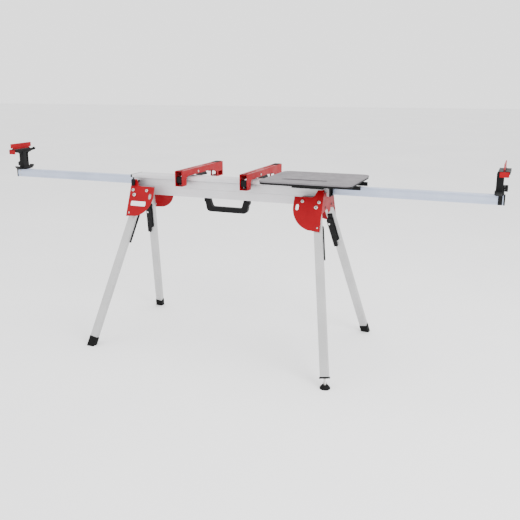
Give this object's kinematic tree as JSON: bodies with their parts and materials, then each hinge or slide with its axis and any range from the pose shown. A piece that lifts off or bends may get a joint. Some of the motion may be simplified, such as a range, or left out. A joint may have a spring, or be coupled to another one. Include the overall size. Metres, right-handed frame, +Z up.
{
  "type": "mitre saw stand",
  "caption": "Folding stand for a mitre saw: a long aluminium beam on splayed folding legs, with sliding saw brackets, extension arms with work supports, a side tray and a carrying handle.",
  "frame": {"origin": "on the floor, under the middle of the stand with its arms drawn out", "axes": "+X along the beam to the right, -Y the front, +Z up"},
  "size_m": [2.57, 0.7838, 0.973],
  "materials": {
    "beam_aluminium": "satin anodised extrusion",
    "arm_aluminium": "satin anodised extrusion",
    "leg_aluminium": "satin anodised tube",
    "cast_aluminium": "as cast",
    "red_paint": "semi-gloss powder coat",
    "grey_paint": "fine-texture powder coat",
    "black_metal": "satin powder coat",
    "black_plastic": "moulded, fine texture",
    "black_rubber": "matte",
    "zinc_steel": "zinc plated"
  },
  "bodies": {
    "stand": {"main_beam": "beam_aluminium", "beam_end_caps": "black_plastic", "saddle_blocks": "cast_aluminium", "plate_bolts": "zinc_steel", "end_plate_left": "red_paint", "end_plate_right": "red_paint", "handle_lugs": "black_plastic", "leg_plate_front_left": "red_paint", "leg_plate_rear_left": "red_paint", "leg_plate_front_right": "red_paint", "leg_plate_rear_right": "red_paint"},
    "leg_front_left_assembly": {"leg_front_left": "leg_aluminium", "rubber_foot_front_left": "black_rubber"},
    "latch_front_left": {"latch_lever_front_left": "black_plastic", "latch_pin_front_left": "zinc_steel"},
    "leg_rear_left_assembly": {"leg_rear_left": "leg_aluminium", "rubber_foot_rear_left": "black_rubber"},
    "latch_rear_left": {"latch_lever_rear_left": "black_plastic", "latch_pin_rear_left": "zinc_steel"},
    "leg_front_right_assembly": {"leg_front_right": "leg_aluminium", "leg_end_plug": "black_plastic"},
    "latch_front_right": {"latch_lever_front_right": "black_plastic", "latch_pin_front_right": "zinc_steel"},
    "leg_rear_right_assembly": {"leg_rear_right": "leg_aluminium", "rubber_foot_rear_right": "black_rubber"},
    "latch_rear_right": {"latch_lever_rear_right": "black_plastic", "latch_pin_rear_right": "zinc_steel"},
    "levelling_foot": {"levelling_stem": "zinc_steel", "levelling_pad": "black_rubber"},
    "handle": {"carry_handle": "black_plastic"},
    "bracket_left": {"saw_bracket_left": "red_paint", "bracket_front_jaw_left": "black_plastic", "bracket_rear_jaw_left": "black_plastic", "cam_pin_left": "zinc_steel"},
    "bracket_clamp_left": {"clamp_lever_left": "black_plastic"},
    "bracket_right": {"saw_bracket_right": "red_paint", "bracket_front_jaw_right": "black_plastic", "bracket_rear_jaw_right": "black_plastic", "cam_pin_right": "zinc_steel"},
    "bracket_clamp_right": {"clamp_lever_right": "black_plastic"},
    "tray": {"tray_top": "grey_paint", "tray_frame": "black_plastic", "tray_slides": "black_metal"},
    "tray_lock": {"tray_knob": "black_plastic"},
    "arm_left_assembly": {"arm_left": "arm_aluminium", "arm_cap_left": "black_plastic", "support_base_left": "black_plastic"},
    "support_left": {"support_post_left": "black_plastic", "support_tab_left": "red_paint"},
    "stop_left": {"flip_stop_left": "red_paint"},
    "support_lock_left": {"support_knob_left": "black_plastic"},
    "arm_lock_left_body": {"arm_lock_left": "black_plastic"},
    "arm_right_assembly": {"arm_right": "arm_aluminium", "arm_cap_right": "black_plastic", "support_base_right": "black_plastic"},
    "support_right": {"support_post_right": "black_plastic", "support_tab_right": "red_paint"},
    "stop_right": {"flip_stop_right": "red_paint"},
    "support_lock_right": {"support_knob_right": "black_plastic"},
    "arm_lock_right_body": {"arm_lock_right": "black_plastic"}
  },
  "joints": [
    {"name": "leg_fold_front_left", "type": "hinge", "parent": "stand", "child": "leg_front_left_assembly", "pos_m": [-0.48, -0.10021, 0.744], "axis": [0, -0.9291, 0.3698], "range_deg": [0, 95]},
    {"name": "latch_rock_front_left", "type": "hinge", "parent": "leg_front_left_assembly", "child": "latch_front_left", "pos_m": [-0.49169, -0.06792, 0.66124], "axis": [0.9842, -0.0655, -0.1645], "range_deg": [0, 9], "stiffness_Nm_per_rad": 0.6, "springref_deg": -17.19},
    {"name": "leg_fold_rear_left", "type": "hinge", "parent": "stand", "child": "leg_rear_left_assembly", "pos_m": [-0.48, 0.10021, 0.744], "axis": [0, -0.9291, -0.3698], "range_deg": [0, 95]},
    {"name": "latch_rock_rear_left", "type": "hinge", "parent": "leg_rear_left_assembly", "child": "latch_rear_left", "pos_m": [-0.49169, 0.06792, 0.66124], "axis": [-0.9842, -0.0655, 0.1645], "range_deg": [0, 9], "stiffness_Nm_per_rad": 0.6, "springref_deg": -17.19},
    {"name": "leg_fold_front_right", "type": "hinge", "parent": "stand", "child": "leg_front_right_assembly", "pos_m": [0.48, -0.10021, 0.744], "axis": [0, 0.9291, -0.3698], "range_deg": [0, 95]},
    {"name": "latch_rock_front_right", "type": "hinge", "parent": "leg_front_right_assembly", "child": "latch_front_right", "pos_m": [0.49169, -0.0958, 0.67233], "axis": [0.9842, 0.0655, 0.1645], "range_deg": [0, 9], "stiffness_Nm_per_rad": 0.6, "springref_deg": -17.19},
    {"name": "leg_fold_rear_right", "type": "hinge", "parent": "stand", "child": "leg_rear_right_assembly", "pos_m": [0.48, 0.10021, 0.744], "axis": [0, 0.9291, 0.3698], "range_deg": [0, 95]},
    {"name": "latch_rock_rear_right", "type": "hinge", "parent": "leg_rear_right_assembly", "child": "latch_rear_right", "pos_m": [0.49169, 0.0958, 0.67233], "axis": [-0.9842, 0.0655, -0.1645], "range_deg": [0, 9], "stiffness_Nm_per_rad": 0.6, "springref_deg": -17.19},
    {"name": "levelling_screw", "type": "slide", "parent": "leg_front_right_assembly", "child": "levelling_foot", "axis": [0.1771, -0.3639, -0.9144], "range_m": [-0.012, 0.01]},
    {"name": "handle_swing", "type": "hinge", "parent": "stand", "child": "handle", "pos_m": [0, -0.016, 0.7287], "axis": [1, 0, 0], "range_deg": [-15, 45]},
    {"name": "bracket_slide_left", "type": "slide", "parent": "stand", "child": "bracket_left", "axis": [1, 0, 0], "range_m": [-0.22, 0.1]},
    {"name": "bracket_clamp_left_turn", "type": "hinge", "parent": "bracket_left", "child": "bracket_clamp_left", "pos_m": [-0.22, 0.066, 0.857], "axis": [-1, 0, 0], "range_deg": [0, 45]},
    {"name": "bracket_slide_right", "type": "slide", "parent": "stand", "child": "bracket_right", "axis": [1, 0, 0], "range_m": [-0.12, 0.015]},
    {"name": "bracket_clamp_right_turn", "type": "hinge", "parent": "bracket_right", "child": "bracket_clamp_right", "pos_m": [0.124, 0.066, 0.857], "axis": [-1, 0, 0], "range_deg": [0, 45]},
    {"name": "tray_slide", "type": "slide", "parent": "stand", "child": "tray", "axis": [1, 0, 0], "range_m": [-0.045, 0]},
    {"name": "tray_knob_turn", "type": "hinge", "parent": "tray", "child": "tray_lock", "pos_m": [0.44, 0.074, 0.833], "axis": [0, 1, 0], "range_deg": [0, 90]},
    {"name": "arm_slide_left", "type": "slide", "parent": "stand", "child": "arm_left_assembly", "axis": [1, 0, 0], "range_m": [0, 0.66]},
    {"name": "support_lift_left", "type": "slide", "parent": "arm_left_assembly", "child": "support_left", "axis": [0, 0, 1], "range_m": [-0.004, 0.021]},
    {"name": "stop_flip_left", "type": "hinge", "parent": "support_left", "child": "stop_left", "pos_m": [-1.256, -0.01625, 0.944], "axis": [0, -1, 0], "range_deg": [0, 90]},
    {"name": "support_knob_turn_left", "type": "hinge", "parent": "arm_left_assembly", "child": "support_lock_left", "pos_m": [-1.2625, -0.01625, 0.8595], "axis": [-1, 0, 0], "range_deg": [0, 180]},
    {"name": "arm_lock_turn_left", "type": "hinge", "parent": "stand", "child": "arm_lock_left_body", "pos_m": [-0.49, -0.0835, 0.806], "axis": [0, -1, 0], "range_deg": [0, 180]},
    {"name": "arm_slide_right", "type": "slide", "parent": "stand", "child": "arm_right_assembly", "axis": [-1, 0, 0], "range_m": [0, 0.52]},
    {"name": "support_lift_right", "type": "slide", "parent": "arm_right_assembly", "child": "support_right", "axis": [0, 0, 1], "range_m": [0, 0.025]},
    {"name": "stop_flip_right", "type": "hinge", "parent": "support_right", "child": "stop_right", "pos_m": [1.261, 0.01625, 0.94], "axis": [0, 1, 0], "range_deg": [0, 90]},
    {"name": "support_knob_turn_right", "type": "hinge", "parent": "arm_right_assembly", "child": "support_lock_right", "pos_m": [1.2675, 0.01625, 0.8595], "axis": [1, 0, 0], "range_deg": [0, 180]},
    {"name": "arm_lock_turn_right", "type": "hinge", "parent": "stand", "child": "arm_lock_right_body", "pos_m": [0.49, 0.0835, 0.806], "axis": [0, 1, 0], "range_deg": [0, 180]}
  ]
}
